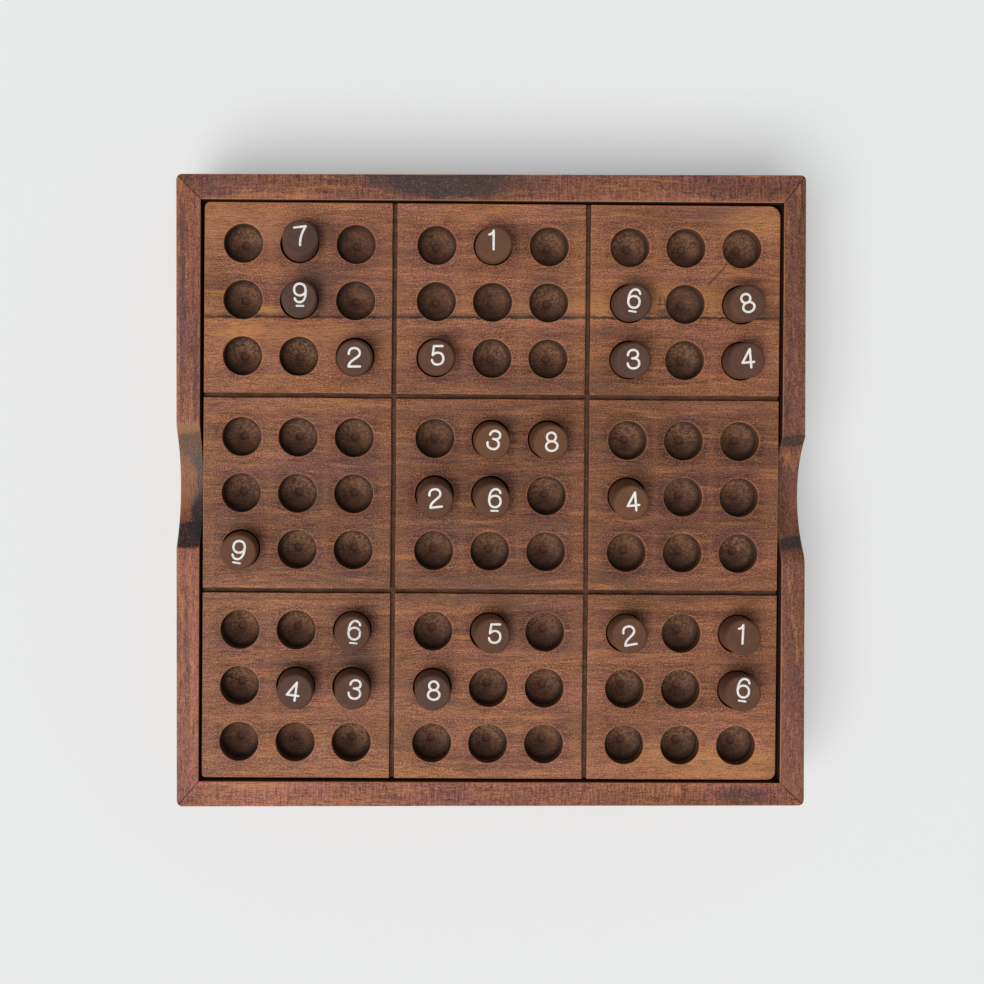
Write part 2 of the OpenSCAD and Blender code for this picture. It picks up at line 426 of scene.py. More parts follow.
BOARD_BANDS = ((-96, 0.15), (-80, 0.09), (-66, 0.05), (-48, -0.05), (-36, -0.05),
               (-16, -0.14), (2, -0.15), (18, -0.12), (34, -0.05), (48, 0),
               (56.5, 0.11), (58.5, 0.10), (63, -0.01), (76, 0), (90, 0.12), (96, 0.20))
board_wood = wood(
    "board_wood", BOARD_PALETTE, shift=(40, 13, 0), bands=BOARD_BANDS,
    cut_palette=CUT_PALETTE,
    lifts=(
        ((-82, 34, 22, 30, 0, 1.3), 0.15), ((-84, -47, 18, 15, 0, 1.2), 0.11),
        ((-48, -50, 15, 12, 0, 1.2), -0.14), ((8, 14, 28, 18, 0, 1.2), -0.09),
        ((48, 46, 15, 15, 0, 1.2), -0.07), ((-48, 80, 14, 10, 0, 1.2), -0.07),
        ((52, 61.5, 36, 6, 3, 1.2), 0.16), ((60, 93, 16, 3, 4, 1.2), -0.16),
        ((80, -90, 22, 8, -4, 1.2), 0.17),
    ),
    stains=(
        ((70, -91, 28, 4.5, -3, 1.2), 0.40, (0.48, 0.225, 0.075)),
        ((-88, 88, 20, 8, 0, 1.3), 0.35, (0.46, 0.20, 0.075)),
        ((48, 63, 34, 5, 4, 1.3), 0.45, (0.47, 0.205, 0.062)),
        ((0, 61, 30, 3, 2, 1.3), 0.30, (0.42, 0.19, 0.062)),
        ((-66, 52, 30, 5, -3, 1.4), 0.35, (0.50, 0.195, 0.062)),
        ((-83.5, 53.6, 7.5, 2.8, 10, 1.2), 0.50, (0.62, 0.245, 0.062)),
        ((-75.5, 60.2, 5, 1.8, 0, 1), 0.50, (0.55, 0.26, 0.080)),
        ((-57, 73, 9, 3.4, 0, 1.2), 0.60, (0.055, 0.034, 0.036)),
        ((-60, 66, 7, 5, 0, 1), 0.55, (0.060, 0.034, 0.030)),
        ((-57, 88, 6, 4, 0, 1.2), 0.45, (0.070, 0.038, 0.030)),
        ((88, 91, 10, 5, 0, 1.2), 0.40, (0.50, 0.230, 0.085)),
        ((76, 92.8, 8, 2.4, 4, 1.2), 0.50, (0.090, 0.048, 0.036)),
        ((94, 59.2, 3.2, 1.5, 0, 1), 0.70, (0.048, 0.028, 0.022)),
        ((57.6, 59.3, 2.8, 1.6, 0, 1), 0.75, (0.048, 0.028, 0.022)),
        ((49, 66, 6, 4, 0, 1.2), 0.6, (0.060, 0.032, 0.027)),
        ((-47, -57, 9, 4, 10, 1.2), 0.45, (0.070, 0.038, 0.030)),
        ((0, -33, 24, 5, 4, 1.2), 0.30, (0.080, 0.044, 0.038)),
    ),
    lines=(
        (-98, 58.2, 196, -0.1, 0.62, 1.3, 0.92, (0.026, 0.014, 0.012)),
        (-98, 58.9, 134, -0.1, 0.75, 2.2, 0.50, (0.060, 0.030, 0.022)),
        (-98, -36, 64, -0.3, 0.40, 1, 0.55, (0.050, 0.024, 0.018)),
        (38, 59.5, 18, 0, 0.30, 3, 0.7, (0.035, 0.018, 0.013)),
        (72, 68.2, 10.4, 47.8, 0.34, 0.8, 0.85, (0.040, 0.020, 0.014)),
        (72, 71.4, 5, 44, 0.16, 0.8, 0.6, (0.050, 0.025, 0.016)),
        (56.3, 61, 5, 84, 0.30, 0.6, 0.8, (0.045, 0.022, 0.015)),
        (58.4, 59.5, 6, 94, 0.26, 0.6, 0.8, (0.045, 0.022, 0.015)),
        (54, 62.4, 7, 2, 0.24, 0.6, 0.7, (0.045, 0.022, 0.015)),
    ))
left_wood = wood(
    "left_wall_wood", SIDE_PALETTE, grain_turn=90, shift=(7, 3, 0),
    bands=((-105, 0.08), (-60, 0.05), (-20, 0), (20, -0.02), (70, 0.02),
           (105, 0.08)),
    lifts=(((-100, -60, 1.2, 26, -1, 1), 0.10), ((-104.4, 30, 0.6, 70, 0, 0.8), 0.12)),
    stains=(((-102.9, 62, 0.8, 34, -0.6, 1), 0.62, (0.075, 0.048, 0.055)),
            ((-98.6, 38, 0.8, 20, 0, 1), 0.50, (0.065, 0.046, 0.052)),
            ((-101.5, -55, 1, 22, 1, 0.9), 0.45, (0.090, 0.050, 0.048)),
            ((-100.5, 12.5, 8, 7.5, 0, 0.4), 0.75, OLIVE),
            ((-98, 0, 3.8, 14, 0, 0.5), 0.85, (0.092, 0.076, 0.066)),
            ((-97, -9, 4.2, 8, 0, 0.4), 0.92, (0.026, 0.022, 0.023)),
            ((-100.5, -14.6, 9, 4.4, 10, 0.3), 0.95, (0.026, 0.022, 0.023)),
            ((-105, 2.5, 5.6, 9.4, 0, 0.3), 0.94, (0.300, 0.118, 0.056)),
            ((-100.5, 21, 8, 1.8, 4, 1), 0.55, (0.42, 0.20, 0.095))))
right_wood = wood(
    "right_wall_wood", GREY_PALETTE, grain_turn=90, shift=(90, 41, 0), lengthwise=0.7,
    bands=((-105, 0.12), (-60, 0.06), (0, 0.02), (60, -0.05), (105, -0.01)),
    stains=(((101.5, 16.8, 8, 1.9, 4, 0.3), 0.85, (0.036, 0.026, 0.024)),
            ((101.5, -17.6, 8, 1.8, 12, 0.5), 0.85, (0.030, 0.030, 0.024))))
back_wood = wood(
    "back_wall_wood", GREY_PALETTE, shift=(11, 70, 0), ticks=1.7, lengthwise=0.45,
    bands=((96.6, 0.30), (97.8, 0.20), (99.4, 0.05), (103, 0.01), (106, -0.02)),
    lifts=(((-80, 101, 16, 6, 0, 1), 0.12), ((60, 101, 20, 6, 0, 1), 0.08)),
    stains=(((-18, 105, 22, 8.5, -5, 0.5), 0.92, CHARCOAL),
            ((4, 102, 12, 4, 0, 1.2), 0.55, (0.055, 0.036, 0.032))))
front_wood = wood(
    "front_wall_wood", SIDE_PALETTE, shift=(60, 25, 0), ticks=1.7, lengthwise=0.45,
    bands=((-106, 0.04), (-103, 0), (-99, 0.03), (-97.4, 0.16), (-96.8, 0.24)),
    lifts=(((50, -101, 50, 9, 0, 0.8), -0.13), ((-70, -101, 26, 7, 0, 1), 0.08)),
    stains=(((84, -102, 8, 3.6, 0, 0.9), 0.6, (0.070, 0.040, 0.036)),
            ((-80, -98.4, 12, 1.4, 0, 1), 0.45, (0.58, 0.28, 0.12))))
panel_wood = wood("panel_wood", PANEL_PALETTE, shift=(3, 5, 0), roughness=(0.55, 0.7))
ledge_x_wood = wood("ledge_x_wood", LEDGE_PALETTE, shift=(15, 55, 0), roughness=(0.55, 0.7))
ledge_y_wood = wood("ledge_y_wood", LEDGE_PALETTE, grain_turn=90, roughness=(0.55, 0.7))


def dowel_wood():
    """Dark stained dowel: end grain on the flat ends and fibres along the sides, and painted light that makes the
    sides lighter.
    """
    n = Nodes("dowel_wood")
    place = n.attribute("local", "Vector")
    tint = n.attribute("tint")
    tone = n.noise(place, (0.22, 0.22, 0.05), detail=3.0, roughness=0.6)
    fibre = n.noise(place, (1.5, 2.4, 0.10), detail=4.0, roughness=0.7)
    pore = n.remap(n.noise(place, (3.4, 3.4, 0.15), detail=1.0), 0.62, 0.72)
    base = n.ramp(tint, ((0.0, (0.096, 0.048, 0.035)), (0.5, (0.122, 0.052, 0.028)),
                         (1.0, (0.158, 0.065, 0.029))))
    shade = n.plus(n.times(tone, 0.6), n.times(fibre, 0.4))
    dark = n.remap(shade, 0.36, 0.62, 0.30, 0.0)
    colour = n.mix(dark, base, (0.055, 0.030, 0.022))
    light = n.remap(shade, 0.5, 0.68, 0.0, 0.28)
    colour = n.mix(light, colour, (0.200, 0.110, 0.068))
    colour = n.over(colour, pore, 0.35, (0.04, 0.022, 0.016))
    # painted light: the sides are drawn lighter, as if lit
    colour = n.over(colour, n.attribute("side"), 0.35, (0.230, 0.120, 0.082))
    colour = n.over(colour, n.attribute("edge"), 0.22, (0.070, 0.034, 0.024))
    rough = n.remap(shade, 0.4, 0.6, 0.55, 0.72)
    height = n.minus(fibre, n.times(pore, 0.8))
    return n.finish(colour, rough, height, depth_mm=0.05, specular=0.22)


def number_paint():
    """Thin white paint that is a little worn and lets the wood show at its edges."""
    n = Nodes("number_paint")
    place = n.attribute("local", "Vector")
    worn = n.noise(place, (2.6, 2.6, 2.6), detail=3.0, roughness=0.6)
    mask = n.times(n.remap(worn, 0.50, 0.66), n.attribute("wear"))
    tone = n.noise(place, (0.8, 0.8, 0.8), detail=2.0)
    white = n.mix(n.remap(tone, 0.35, 0.65), (0.78, 0.75, 0.70), (0.90, 0.885, 0.86))
    colour = n.mix(mask, white, (0.24, 0.16, 0.12))
    return n.finish(colour, n.remap(worn, 0.3, 0.7, 0.5, 0.7), worn, depth_mm=0.02, specular=0.3)


dowel = dowel_wood()
paint = number_paint()

# ---------------------------------------------------------------- playing board

board_low, board_high = node_box("playing_board")
board_mid = (board_low + board_high)[:2] / 2
board_top, board_base = board_high[2], board_low[2]


def mount_at(name):
    return np.array(mounts[name]["pos_m"][:2]) / MM


BOARD_TURN = math.radians(-0.35)
row_run = mount_at("hole_r1c9") - mount_at("hole_r1c1")
ROWS_TURN = math.atan2(row_run[1], row_run[0])  # the rows of holes are not quite square to it


def turned(x, y, angle):
    return x * math.cos(angle) - y * math.sin(angle), x * math.sin(angle) + y * math.cos(angle)


column_x = [[] for _ in range(9)]
row_y = [[] for _ in range(9)]
for mount_name in mounts:
    if mount_name.startswith("hole_r"):
        across, up = turned(*(mount_at(mount_name) - board_mid), -ROWS_TURN)
        row_y[int(mount_name[6]) - 1].append(up)
        column_x[int(mount_name[8]) - 1].append(across)
# the middles of the columns and rows, in the frame of the rows of holes
column_x = [float(np.mean(v)) for v in column_x]
row_y = [float(np.mean(v)) for v in row_y]
empty_holes = {(int(m[6]), int(m[8])) for m in mounts if m.startswith("hole_r")}

BOARD_SIDE = 192.7
CORNER_RADII = ((1.3, 2.8), (1.9, 3.7))  # front left and right, then back left and right
EASE = 0.4  # radius of the board's rounded edges
HOLE_R = mounts["hole_r1c1"]["dims"]["r_mm"]
HOLE_WALL = mounts["hole_r1c1"]["dims"]["length_mm"]
HOLE_CONE, DIMPLE_R, DIMPLE_DEPTH = 2.0, 1.4, 0.6
HOLE_FLOOR = HOLE_WALL + HOLE_CONE
RIM_WOBBLE = 0.035  # how uneven a hole's rim is
TORN_PULL, TORN_SPREAD = 0.34, 0.012  # how far torn grain moves a ring down, and out
HOLE_SHADE = 0.13  # darkening of the near side of a hole's wall, which gets no light
GROOVE_X = (-32.75, 31.95)
GROOVE_Y = (-33.45, 31.85)
GROOVE_REACH = 2.2  # how far round a groove its wandering is felt
SAW_DRIFT, SAW_WIDENING = 0.06, 0.05
# Offset from the middle of a groove, and depth there
GROOVE_FORM = ((0.98, 0.0), (0.87, 0.03), (0.80, 0.13), (0.765, 0.5), (0.72, 1.25),
               (0.60, 1.39), (0.30, 1.36), (0.0, 1.40))
CELL = (column_x[1] - column_x[0]) / 2
PARTS = 16  # steps along each side of the square round a hole


def axis_lines(centres, grooves):
    """Grid lines across the board, with the groove depth at each, and where each cell starts."""
    half = BOARD_SIDE / 2
    border = [0.0, 0.03, 0.10, 0.21, 0.36, 0.53, 0.72]

    def edge_lines(gap):
        steps = int(max(2, round((gap - border[-1]) / 0.75)))
        return border + list(np.linspace(border[-1], gap, steps + 1)[1:-1])

    centres = sorted(centres)
    lines = [-half + d for d in edge_lines(centres[0] - CELL + half)]
    starts = []
    for i, centre in enumerate(centres):
        starts.append(len(lines))
        points = np.linspace(centre - CELL, centre + CELL, PARTS + 1)
        follows = i + 1 < 9 and abs(centres[i + 1] - centre - 2 * CELL) < 0.01
        lines += list(points[:-1]) if follows else list(points)
        if i in (2, 5):
            middle = grooves[0 if i == 2 else 1]
            widest = GROOVE_FORM[0][0]
            offsets = [-d for d, _ in GROOVE_FORM] + [d for d, _ in GROOVE_FORM[-2::-1]]
            lines += list(np.linspace(points[-1], middle - widest, 4)[1:-1])
            lines += [middle + d for d in offsets]
            after = centres[i + 1] - CELL
            lines += list(np.linspace(middle + widest, after, 5)[1:-1])
    lines += [half - d for d in reversed(edge_lines(half - centres[-1] - CELL))]
    lines = np.array(lines)
    form = sorted(GROOVE_FORM)
    depth = np.zeros(len(lines))
    for middle in grooves:
        off = np.abs(lines - middle)
        depth = np.maximum(depth, np.interp(off, [d for d, _ in form], [z for _, z in form]))
    return lines, depth, dict(zip(centres, starts))


def corner_radius(x, y):
    """The radius of the board's corner that is nearest to each point."""
    (front_left, front_right), (back_left, back_right) = CORNER_RADII
    return np.where(y > 0, np.where(x > 0, back_right, back_left),
                    np.where(x > 0, front_right, front_left))


def rounded(x, y, half_x, half_y, radius):
    """Moves the points of a rectangle's corners in so that the outline is rounded."""
    core_x, core_y = half_x - radius, half_y - radius
    u = np.clip((np.abs(x) - core_x) / radius, 0, 1)
    v = np.clip((np.abs(y) - core_y) / radius, 0, 1)
    inside = (u > 0) & (v > 0)
    new_x = np.where(inside, np.sign(x) * (core_x + radius * u * np.sqrt(1 - v * v / 2)), x)
    new_y = np.where(inside, np.sign(y) * (core_y + radius * v * np.sqrt(1 - u * u / 2)), y)
    return new_x, new_y


def edge_distance(x, y, half, radius):
    """How far points lie inside a rounded square."""
    core = half - radius
    u, v = np.abs(x) - core, np.abs(y) - core
    corner = radius - np.hypot(np.maximum(u, 0), np.maximum(v, 0))
    straight = radius - np.maximum(u, v)
    return np.where((u > 0) & (v > 0), corner, straight)


def wandering(across, along, grooves, seed):
    """Moves points near the grooves a little across them, as the saw wandered."""
    moved = across.copy()
    for i, middle in enumerate(grooves):
        near = np.clip(GROOVE_REACH - np.abs(across - middle), 0, 1)
        side = np.sign(across - middle) * wave(along / 40, seed + 10 + i, waves=6)
        moved += near * (SAW_DRIFT * wave(along / 90, seed + i) + SAW_WIDENING * side)
    return moved


class Marked:
    """Points with the marks of the board's wood, its painted highlight and painted shade, which are 0 where they
    are not given.
    """

    def __init__(self):
        self.points, self.polar, self.count = [], [], 0
        self.marks = {key: [] for key in ("cut", "edge", "tear", "bored", "deep")}

    def add(self, points, polar=None, **given):
        """Adds points and returns the index of their first."""
        first, size = self.count, len(points)
        self.points.append(points)
        for key, values in self.marks.items():
            values.append(np.zeros(size) + given.get(key, 0.0))
        self.polar.append(np.zeros((size, 3)) if polar is None else polar)
        self.count += size
        return first


def hole_form():
    """Rings down a hole: radius, depth, and how much the ring is a rough, torn one."""
    slope = HOLE_CONE / (HOLE_R - DIMPLE_R)
    down = [(HOLE_R + 1.35, 0.0, 0.0), (HOLE_R + 0.45, 0.0, 0.0), (HOLE_R + 0.20, 0.03, 0.0),
            (HOLE_R + 0.06, 0.12, 0.0), (HOLE_R, 0.34, 0.0), (HOLE_R, 1.6, 0.0),
            (HOLE_R, 3.2, 0.0), (HOLE_R - 0.01, HOLE_WALL - 0.25, 0.1),
            (HOLE_R - 0.10, HOLE_WALL, 0.4)]
    for r in (5.6, 4.9, 4.2, 3.5, 2.8, 2.1, 1.6):
        down.append((r, HOLE_WALL + (HOLE_R - r) * slope, 1.0))
    down += [(DIMPLE_R, HOLE_FLOOR - 0.02, 0.6), (DIMPLE_R - 0.15, HOLE_FLOOR + 0.25, 0.3),
             (DIMPLE_R - 0.45, HOLE_FLOOR + DIMPLE_DEPTH - 0.12, 0.2),
             (0.5, HOLE_FLOOR + DIMPLE_DEPTH - 0.02, 0.1)]
    return down


def drill(board, faces, rim, row, column):
    """Adds the hole at a row and column, joined to the points of the grid square round it."""
    angles = -0.75 * math.pi + np.arange(4 * PARTS) * (2 * math.pi / (4 * PARTS))
    size = len(angles)
    seed = 100 + row * 9 + column
    is_empty = (row + 1, column + 1) in empty_holes
    torn = np.random.default_rng(seed).uniform(0.1, 0.8) * (1.0 if is_empty else 0.0)
    if is_empty and 2 <= row <= 7:
        torn = max(torn, 0.55)  # the middle rows are torn more evenly
    first = board.count
    middle_x, middle_y = turned(column_x[column], row_y[row], ROWS_TURN - BOARD_TURN)
    upper = np.clip(0.62 + 0.5 * np.sin(angles), 0.12, 1)  # the far side is torn most
    front = np.clip(-np.sin(angles), 0, 1)
    for k, (radius, low, rough) in enumerate(hole_form()):
        ring_r = np.full(size, radius)
        ring_z = np.full(size, low)
        if 0 < k < 5:
            ring_r += RIM_WOBBLE * wave(angles / (2 * math.pi), seed, waves=5, base=3.0)
        if rough and is_empty:
            pull = np.abs(wave(angles / (2 * math.pi) + 0.013 * k, seed + 7 * k, 4, 7.0))
            ring_z += rough * torn * TORN_PULL * pull
            spread = wave(angles / 6.28, seed + 3 * k, 4, 5.0)
            ring_r *= 1 + TORN_SPREAD * rough * spread
        x = middle_x + ring_r * np.cos(angles)
        y = middle_y + ring_r * np.sin(angles)
        path = radius + max(0.0, HOLE_WALL - low)
        # the near side of the wall below its rim gets painted shade
        board.add(np.stack([x, y, board_top - ring_z], 1),
                  np.stack([np.cos(angles) + seed, np.sin(angles), np.full(size, path)], 1),
                  cut=0.0 if low < 0.05 else (0.4 if low < 0.2 else 1.0),
                  edge=0.55 if 0.01 < low < 0.2 else 0.0, tear=torn * min(rough, 1.0) * upper,
                  bored=1.0 if low > 0.2 else 0.0, deep=(HOLE_SHADE if low > 0.3 else 0.0) * front)
    for a in range(size):
        b = (a + 1) % size
        faces.append((rim[a], rim[b], first + b, first + a))
    rings = list(range(first, board.count, size))
    faces += ring_faces(rings, size)
    bottom = board.add(np.array([[middle_x, middle_y, board_top - HOLE_FLOOR - DIMPLE_DEPTH]]),
                       np.array([[seed, 0.0, 0.0]]), cut=1.0, bored=1.0)
    for a in range(size):
        faces.append((rings[-1] + a, rings[-1] + (a + 1) % size, bottom))


def build_board():
    xs, x_depth, x_start = axis_lines(column_x, GROOVE_X)
    ys, y_depth, y_start = axis_lines(row_y, GROOVE_Y)
    half = BOARD_SIDE / 2
    nx, ny = len(xs), len(ys)
    gx, gy = np.meshgrid(xs, ys, indexing="ij")
    depth = np.maximum(*np.meshgrid(x_depth, y_depth, indexing="ij"))
    drift_x = wandering(gx, gy, GROOVE_X, 10)
    drift_y = wandering(gy, gx, GROOVE_Y, 30)
    radii = corner_radius(gx, gy)
    on_edge = edge_distance(gx, gy, half, radii) < 0.8
    px = np.where(on_edge & (np.abs(gx) > half - 0.8), gx, drift_x)
    py = np.where(on_edge & (np.abs(gy) > half - 0.8), gy, drift_y)
    px, py = rounded(px, py, half, half, radii)
    inside = np.clip(edge_distance(px, py, half, radii), 0, EASE)
    fall = EASE - np.sqrt(np.maximum(EASE ** 2 - (EASE - inside) ** 2, 0))
    pz = board_top - np.maximum(depth, fall)
    depth, inside = depth.ravel(), inside.ravel()
    lip = np.clip((depth > 0.01) * (depth < 0.4), 0, 1) * 0.5
    board = Marked()
    board.add(np.stack([px.ravel(), py.ravel(), pz.ravel()], 1),
              cut=np.clip((depth - 0.05) / 0.2, 0, 1),
              edge=np.maximum(np.clip(1.2 - inside / EASE, 0, 1), lip))
    faces = []
    taken = np.zeros((nx - 1, ny - 1), bool)

    def node(i, j):
        return i * ny + j

    for row in range(9):
        for column in range(9):
            i0, j0 = x_start[column_x[column]], y_start[row_y[row]]
            taken[i0:i0 + PARTS, j0:j0 + PARTS] = True
            rim = [node(i0 + k, j0) for k in range(PARTS)]
            rim += [node(i0 + PARTS, j0 + k) for k in range(PARTS)]
            rim += [node(i0 + PARTS - k, j0 + PARTS) for k in range(PARTS)]
            rim += [node(i0, j0 + PARTS - k) for k in range(PARTS)]
            drill(board, faces, rim, row, column)
    for i in range(nx - 1):
        for j in range(ny - 1):
            if not taken[i, j]:
                faces.append((node(i, j), node(i + 1, j), node(i + 1, j + 1), node(i, j + 1)))

    # sides and underside
    loop = [node(i, 0) for i in range(nx - 1)] + [node(nx - 1, j) for j in range(ny - 1)]
    loop += [node(i, ny - 1) for i in range(nx - 1, 0, -1)]
    loop += [node(0, j) for j in range(ny - 1, 0, -1)]
    outline = board.points[0][loop]
    size = len(loop)
    height = board_top - board_base
    tops = outline[:, 2]
    rings = []
    for drop, inset in ((1.6, 0.0), (height / 2, 0.0), (height - EASE, 0.0),
                        (height - 0.3 * EASE, 0.3 * EASE), (height, EASE)):
        scale = 1 - inset / half
        z = np.minimum(board_top - drop, tops - 0.02)
        points = np.stack([outline[:, 0] * scale, outline[:, 1] * scale, z], 1)
        # the straight sides get painted shade, for the dark gap beside the walls
        rings.append(board.add(points, deep=0.40 if inset == 0.0 else 0.0))
    for a in range(size):
        b = (a + 1) % size
        faces.append((loop[b], loop[a], rings[0] + a, rings[0] + b))
    faces += [f[::-1] for f in ring_faces(rings, size)]
    faces.append(tuple(rings[-1] + a for a in range(size))[::-1])

    verts = np.vstack(board.points)
    used = np.zeros(len(verts), bool)
    for face in faces:
        used[list(face)] = True
    renumber = np.cumsum(used) - 1
    faces = [tuple(int(renumber[v]) for v in face) for face in faces]
    verts = verts[used]
    across, up = turned(verts[:, 0], verts[:, 1], BOARD_TURN)
    verts = np.column_stack([across + board_mid[0], up + board_mid[1], verts[:, 2]])
    floats = {key: np.concatenate(values)[used] for key, values in board.marks.items()}
    board = add_mesh("board_top_and_holes", verts, faces, board_wood, 40.0, floats,
                     {"polar": np.vstack(board.polar)[used]})
    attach(board, "board")
    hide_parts("playing_board")


build_board()

# ---------------------------------------------------------------- tray

TRAY_TOP = node_box("back_wall")[1][2]
# half width and half length; each mitred wall gives its own outer face only
TRAY_HALF = np.array([node_box("right_wall")[1][0], node_box("back_wall")[1][1]])
TRAY_CORNER = 2.0
WALL_EASE = 0.3  # radius of the walls' rounded edges
WALL_WEAR = 0.28  # how much that radius varies along a wall
NOTCH_LENGTH, NOTCH_DEPTH = 40.0, 8.0
NOTCH_R = ((NOTCH_LENGTH / 2) ** 2 + NOTCH_DEPTH ** 2) / (2 * NOTCH_DEPTH)
# name: outward direction, wood, and the middle of its finger notch with how far its back and
# front ends are worn
WALLS = {
    "back_wall": ((0, 1), back_wood, None), "left_wall": ((-1, 0), left_wood, (1.0, 4.0, 0.2)),
    "front_wall": ((0, -1), front_wood, None), "right_wall": ((1, 0), right_wood, (-2.0, 0.2, 4.0)),
}


def inner_corners(node, outward):
    """The two corners of the tray's opening on a wall, from the underside of its CAD solid."""
    points = np.array([v.co for v in frame["nodes"][node].data.vertices]) / MM
    points = np.unique(points[points[:, 2] < 0.01][:, :2].round(3), axis=0)
    points = points[np.argsort(points @ np.array(outward))][:2]
    along = np.array([-outward[1], outward[0]])
    return points[np.argsort(points @ along)]


def notch_drop(off, soft_back, soft_front):
    """How far a finger notch is cut down, off mm from its middle; a worn end fades out."""
    half = NOTCH_LENGTH / 2
    spread = (soft_back if off > 0 else soft_front)
    arc = math.sqrt(max(NOTCH_R ** 2 - off ** 2, 0.0)) - (NOTCH_R - NOTCH_DEPTH)
    if abs(off) > half + spread:
        return 0.0
    fade = min(1.0, (half + spread - abs(off)) / max(spread, 0.01))
    return (arc + math.sqrt(arc ** 2 + spread ** 2 * 0.12)) / 2 * fade


def build_wall(name):
    outward, material, notch = WALLS[name]
    outward = np.array(outward, float)
    along = np.array([-outward[1], outward[0]])
    half_out, half_along = abs(TRAY_HALF @ outward), abs(TRAY_HALF @ along)
    inner = inner_corners(name, outward)
    outer = np.array([outward * half_out - along * half_along,
                      outward * half_out + along * half_along])
    # distances from the mitred ends, closer together where the end is dark and rounded
    ends = [0.005, 0.10, 0.22, 0.5, 0.8, 1.1, 1.5, 1.9, 2.4, 3.2, 4.5, 6.5, 9.0, 12.0, 15.0]
    places = [-half_along + d for d in ends] + [half_along - d for d in ends]
    places += list(np.arange(-88.0, 88.1, 4.0))
    if notch is not None:
        middle, soft_back, soft_front = notch
        middle = middle * along[1]
        reach = NOTCH_LENGTH / 2 + 5.0
        places = [p for p in places if abs(p - middle) > reach]
        places += list(middle + np.linspace(-reach, reach, 101))
    places = np.array(sorted(places))
    straight = 88.0  # from here on the inner and outer faces run to different ends
    beyond = np.clip(np.abs(places) - straight, 0, None)
    start, end = inner @ along
    inner_reach = np.where(places > 0, end, -start) - straight
    inner_places = np.sign(places) * (np.minimum(np.abs(places), straight)
                                      + beyond / (half_along - straight) * inner_reach)
    thick = half_out - np.mean(inner @ outward)
    arc = WALL_EASE * (1 - np.cos(np.radians([0, 22, 45, 68, 90])))
    rise = WALL_EASE * (1 - np.sin(np.radians([0, 22, 45, 68, 90])))
    # the section: distance in from the outer face, height, whether that is from the top, and
    # how much painted shade it gets where it lies deep in the gap beside the board
    section = [(0.3, 0.0, False, 0.0), (0.0, 0.3, False, 0.0), (0.0, 12.0, False, 0.0),
               (0.0, 20.0, False, 0.0)]
    section += [(float(a), float(r), True, 0.0) for a, r in zip(arc, rise)]
    section += [(float(d), 0.0, True, 0.0) for d in np.linspace(0, thick, 8)[1:-1]]
    section += [(float(thick - a), float(r), True, 0.0) for a, r in zip(arc[::-1], rise[::-1])]
    section += [(thick, WALL_EASE + 0.35, True, 0.95), (thick, 20.0, False, 0.8),
                (thick, 12.0, False, 0.3), (thick, 0.3, False, 0.0), (thick - 0.3, 0.0, False, 0.0)]
    verts, edge, joint, deep = [], [], [], []
    wear = 1 + WALL_WEAR * wave(places / 60, 500 + len(name))
    for k, place in enumerate(places):
        to_end = half_along - abs(place)
        for d, h, from_top, dark in section:
            part = d / thick
            if from_top and part < 0.5:
                part = min(part * wear[k], 0.5)
            elif from_top:
                part = max(1 - (1 - part) * wear[k], 0.5)
            on_outer = outer[0] + (outer[1] - outer[0]) * (place + half_along) / (2 * half_along)
            step = (inner_places[k] - start) / (end - start)
            on_inner = inner[0] + (inner[1] - inner[0]) * step
            x, y = on_outer + (on_inner - on_outer) * part
            x, y = rounded(np.float64(x), np.float64(y), *TRAY_HALF, TRAY_CORNER)
            z = h
            top = TRAY_TOP
            if from_top:
                if notch is not None:
                    where = (np.array([x, y]) @ along - middle) * along[1]
                    top -= notch_drop(where, soft_back, soft_front)
                z = top - h - max(0.0, 0.16 - to_end)
            verts.append((float(x), float(y), float(z)))
            eased = from_top and 0.0 < h < WALL_EASE
            edge.append((0.2 if top < TRAY_TOP - 0.5 else 0.8) if eased else 0.0)
            joint.append(1.0 if to_end < 0.12 else 0.6 if to_end < 0.3 else 0.0)
            deep.append(dark)
    size = len(section)
    rings = [k * size for k in range(len(places))]
    faces = [f[::-1] for f in ring_faces(rings, size)] + end_faces(rings, size)
    wall = add_mesh(name + "_board", verts, faces, material, 38.0,
                    {"edge": edge, "joint": joint, "deep": deep})
    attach(wall, "tray")
    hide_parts(name)


for wall_name in WALLS:
    build_wall(wall_name)


def dress(node, material, bevel):
    """Gives a CAD node that stays its wood and a small bevel on its edges."""
    obj = frame["nodes"][node]
    obj.data.materials.clear()
    obj.data.materials.append(material)
    cutter = obj.modifiers.new("eased_edges", "BEVEL")
    cutter.width = bevel * MM
    cutter.segments = 3
    cutter.limit_method = "ANGLE"
    cutter.angle_limit = math.radians(40)


dress("bottom_panel", panel_wood, 0.3)
for ledge_name in ("back_ledge", "front_ledge"):
    dress(ledge_name, ledge_x_wood, 0.4)
for ledge_name in ("left_ledge", "right_ledge"):
    dress(ledge_name, ledge_y_wood, 0.4)

# ---------------------------------------------------------------- pegs

PEG_R, PEG_LEN, PEG_CHAMFER = 6.0, 13.4, 0.6


def peg_form():
    """Radius, distance from the end face, and edge wear, from the middle of an end outwards."""
    face = PEG_R - PEG_CHAMFER
    return [(1.3, 0.0, 0.0), (2.6, 0.0, 0.0), (3.9, 0.0, 0.0), (face - 0.35, 0.0, 0.0),
            (face - 0.10, 0.01, 0.3), (face + 0.06, 0.08, 0.9), (face + 0.22, 0.23, 0.8),
            (face + 0.42, 0.44, 0.8), (face + 0.53, 0.60, 0.9), (PEG_R - 0.01, 0.80, 0.3),
            (PEG_R, 1.3, 0.0)]


